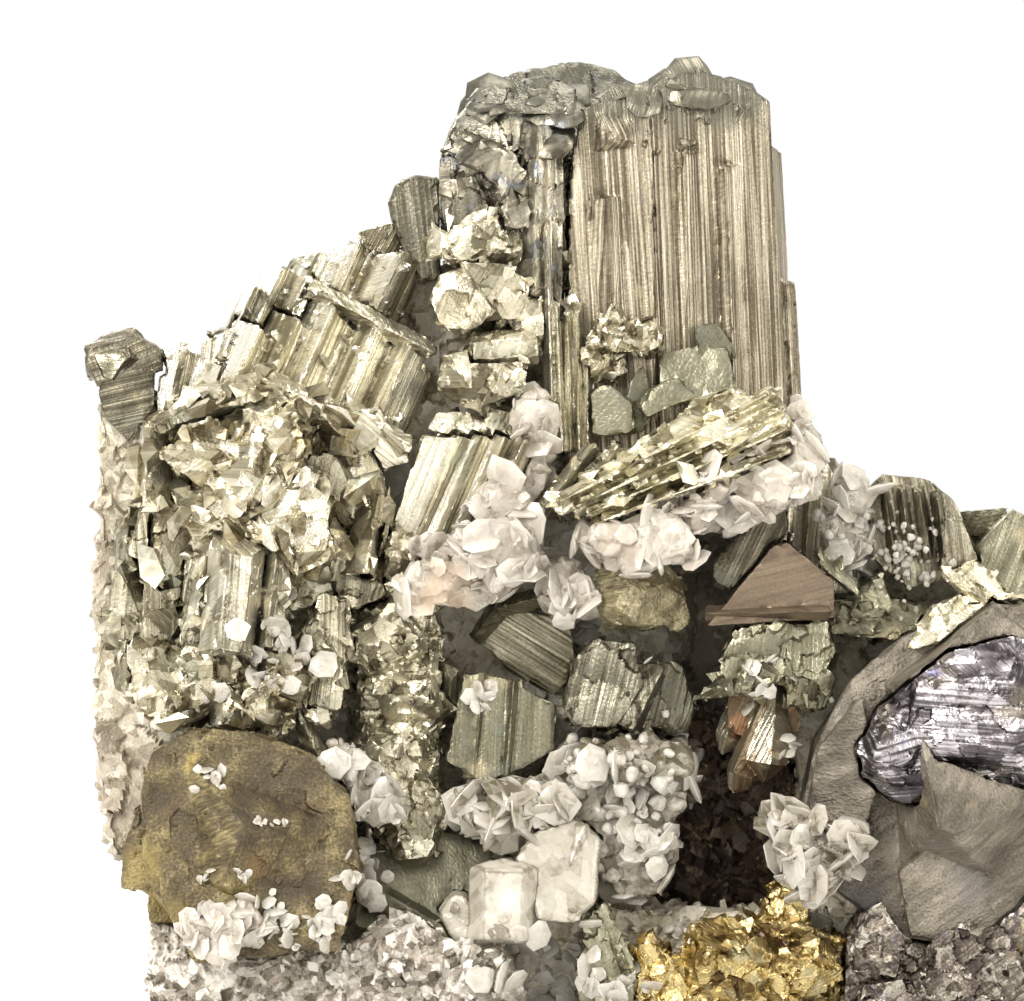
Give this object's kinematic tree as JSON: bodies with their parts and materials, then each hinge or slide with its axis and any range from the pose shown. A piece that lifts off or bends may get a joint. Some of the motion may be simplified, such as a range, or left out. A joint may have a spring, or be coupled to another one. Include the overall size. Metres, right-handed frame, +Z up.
{
  "type": "arsenopyrite specimen",
  "caption": "Cluster of striated metallic crystals with calcite crusts, ore lumps and a galena lens on a rock matrix cut flat to stand, for display.",
  "frame": {"origin": "on the flat cut under the rock, below the middle of the specimen", "axes": "+X to the viewer's right, along the longest side; +Y to the back; +Z up, along the tall crystals, so -Z looks out of the flat cut"},
  "size_m": [0.1056, 0.0588, 0.0962],
  "materials": {
    "rock": "broken, dull",
    "pale_rock": "grainy, a little shiny",
    "arsenopyrite": "metallic, striated crystal faces",
    "dark_arsenopyrite": "metallic, tarnished, smooth and striated faces",
    "pyrrhotite": "metallic, bronze brown",
    "calcite": "translucent, glassy",
    "chalcopyrite": "metallic, dull olive gold",
    "bright_chalcopyrite": "metallic, bright gold with a purple tarnish",
    "galena": "bright metallic, finely striated",
    "sphalerite": "smooth, dull",
    "pyrite": "bright metallic, cream yellow"
  },
  "bodies": {
    "root": {"back_prisms": "arsenopyrite", "matrix_rock": "rock", "tall_column_main": "arsenopyrite", "tall_column_left": "arsenopyrite", "red_prism": "pyrrhotite", "galena_lens": "galena", "dark_dome": "sphalerite", "chalcopyrite_lump": "chalcopyrite", "slanted_prism": "arsenopyrite", "striated_block": "arsenopyrite", "dark_block": "dark_arsenopyrite", "calcite_barrel": "calcite", "calcite_slant_block": "calcite", "small_blade": "dark_arsenopyrite", "tongue_blade": "arsenopyrite", "dusted_block": "arsenopyrite", "dogtooth_crystals": "pyrrhotite", "golden_lump": "chalcopyrite", "fluted_prism": "arsenopyrite", "broken_block_upper": "arsenopyrite", "white_faced_block": "arsenopyrite", "pale_green_block": "arsenopyrite", "rim_crystal": "arsenopyrite", "knob_crystal": "dark_arsenopyrite", "bright_plate": "arsenopyrite", "brown_blade": "dark_arsenopyrite", "left_edge_blades": "arsenopyrite", "ribbed_crystal": "dark_arsenopyrite", "far_right_crystal": "dark_arsenopyrite", "stepped_prisms_lower": "arsenopyrite", "stepped_prisms_upper": "arsenopyrite", "wedge_block": "dark_arsenopyrite", "smooth_green_crystals": "dark_arsenopyrite", "green_cluster": "dark_arsenopyrite", "hook_crystal": "dark_arsenopyrite", "back_pillar": "dark_arsenopyrite", "upper_striated_block": "arsenopyrite", "green_shards": "dark_arsenopyrite", "pyrite_patch": "pyrite", "small_bright_blades": "dark_arsenopyrite", "galena_foot": "galena", "grey_foot_crystal": "dark_arsenopyrite", "green_wedge": "dark_arsenopyrite", "crumpled_band": "arsenopyrite", "lower_left_rubble": "arsenopyrite", "crater_blocks": "arsenopyrite", "foot_rubble": "arsenopyrite", "bright_chalcopyrite": "bright_chalcopyrite", "quartz_foot": "pale_rock", "hollow_crust": "dark_arsenopyrite", "calcite_ledge": "calcite", "calcite_band": "calcite", "calcite_right_cluster": "calcite", "calcite_beads": "calcite", "calcite_fan": "calcite", "calcite_patch_left": "calcite", "calcite_rosette": "calcite", "calcite_tuft": "calcite"}
  },
  "joints": []
}
